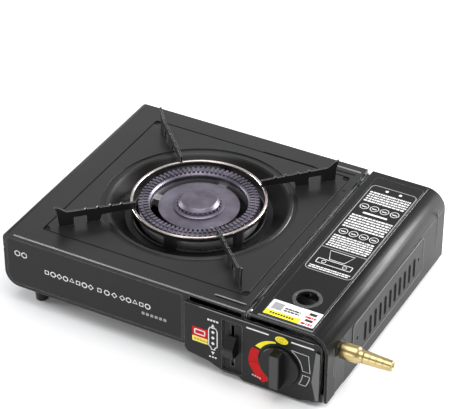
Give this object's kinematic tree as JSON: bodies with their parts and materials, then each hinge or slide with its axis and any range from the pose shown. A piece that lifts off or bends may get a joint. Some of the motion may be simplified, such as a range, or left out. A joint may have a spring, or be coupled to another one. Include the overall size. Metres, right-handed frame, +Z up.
{
  "type": "portable gas stove",
  "caption": "Portable gas camping stove with a lift-off pan over a ring burner, a rotary valve knob, a locking lever and a hinged lid over the gas bottle bin.",
  "frame": {"origin": "centre of the whole object's footprint, on the table", "axes": "+X to the hose inlet side, +Y to the back, +Z up; the knob faces -Y"},
  "size_m": [0.391, 0.272, 0.103],
  "materials": {
    "black_case": "satin black paint on pressed steel",
    "black_panel": "satin black paint",
    "black_enamel": "gloss black enamel",
    "zinc_sheet": "zinc plated sheet steel",
    "steel_rod": "bright steel",
    "bright_rim": "polished steel",
    "burner_steel": "heat darkened steel",
    "cast_aluminium": "die cast",
    "brass": "turned brass",
    "ceramic": "glazed ceramic",
    "rubber": "moulded rubber",
    "black_plastic": "moulded black plastic"
  },
  "bodies": {
    "stove": {"base_shell": "black_case", "top_plate": "black_case", "control_panel": "black_panel", "heat_bulkhead": "zinc_sheet", "control_bracket": "zinc_sheet", "lever_guides": "zinc_sheet", "hinge_rod": "black_case", "bottle_stop": "rubber", "case_screws": "steel_rod", "foot_front_left": "rubber", "foot_front_right": "rubber", "foot_rear_left": "rubber", "foot_rear_right": "rubber", "burner_body": "cast_aluminium", "burner_ring": "burner_steel", "burner_disc": "burner_steel", "burner_cap": "burner_steel", "electrode_clip": "zinc_sheet", "electrode": "ceramic", "electrode_tip": "steel_rod", "mixing_tube": "zinc_sheet", "regulator_body": "cast_aluminium", "jet_nozzle": "brass", "bottle_socket": "zinc_sheet", "piezo_igniter": "black_plastic", "inlet_union": "brass", "hose_barb": "brass", "inlet_tab": "black_case", "bottle_cradle": "zinc_sheet"},
    "pan": {"drip_pan": "black_case", "wind_ring": "bright_rim", "pot_support_front_left": "black_enamel", "pot_support_front_right": "black_enamel", "pot_support_rear_left": "black_enamel", "pot_support_rear_right": "black_enamel"},
    "lid": {"lid_shell": "black_case"},
    "knob": {"knob": "black_plastic", "valve_stem": "brass"},
    "lever": {"lock_lever": "black_plastic", "lever_slider": "zinc_sheet"},
    "bottle_slide": {"bottle_slide": "zinc_sheet"}
  },
  "joints": [
    {"name": "pan_lift", "type": "slide", "parent": "stove", "child": "pan", "axis": [0, 0, 1], "range_m": [0, 0.06]},
    {"name": "lid_hinge", "type": "hinge", "parent": "stove", "child": "lid", "pos_m": [0.0649, 0.008, 0.078], "axis": [0, -1, 0], "range_deg": [0, 95]},
    {"name": "knob_turn", "type": "hinge", "parent": "stove", "child": "knob", "pos_m": [0.0988, -0.12, 0.0355], "axis": [0, -1, 0], "range_deg": [0, 120]},
    {"name": "lever_slide", "type": "slide", "parent": "stove", "child": "lever", "axis": [0, 0, 1], "range_m": [0, 0.02]},
    {"name": "bottle_slide_move", "type": "slide", "parent": "stove", "child": "bottle_slide", "axis": [0, 1, 0], "range_m": [0, 0.006]}
  ],
  "couplings": [
    {"joint": "bottle_slide_move", "follows": "lever_slide", "ratio": 0.3}
  ]
}
